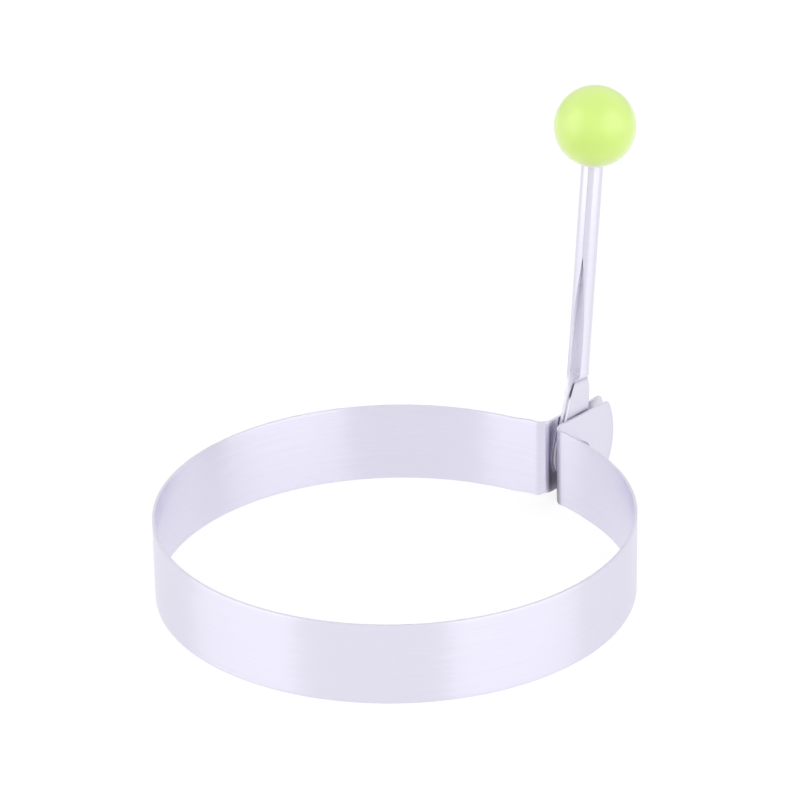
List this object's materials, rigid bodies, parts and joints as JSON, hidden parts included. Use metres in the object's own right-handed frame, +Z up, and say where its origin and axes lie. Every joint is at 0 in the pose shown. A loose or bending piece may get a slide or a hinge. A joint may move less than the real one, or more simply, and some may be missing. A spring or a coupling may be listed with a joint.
{
  "type": "egg ring",
  "caption": "Round egg ring of bent steel strip whose out-turned tabs carry a riveted folding handle, a rolled sheet tube topped with a green plastic ball.",
  "frame": {"origin": "on the surface that the ring stands on, under the middle of the whole part", "axes": "+Z up, +Y from the ring's middle to its hinge, +X along the rivet"},
  "size_m": [0.086, 0.1066, 0.0781],
  "materials": {
    "band_steel": "fine brushing round the strip",
    "rivet_steel": "pressed smooth",
    "stem_steel": "bright rolled sheet",
    "knob_plastic": "glossy moulding"
  },
  "bodies": {
    "ring": {"ring_band": "band_steel", "pivot_rivet": "rivet_steel"},
    "handle": {"handle_stem": "stem_steel", "knob_ball": "knob_plastic"}
  },
  "joints": [
    {"name": "handle_fold", "type": "hinge", "parent": "ring", "child": "handle", "pos_m": [0, 0.03955, 0.0075], "axis": [1, 0, 0], "range_deg": [-84.3, 95.7]}
  ]
}
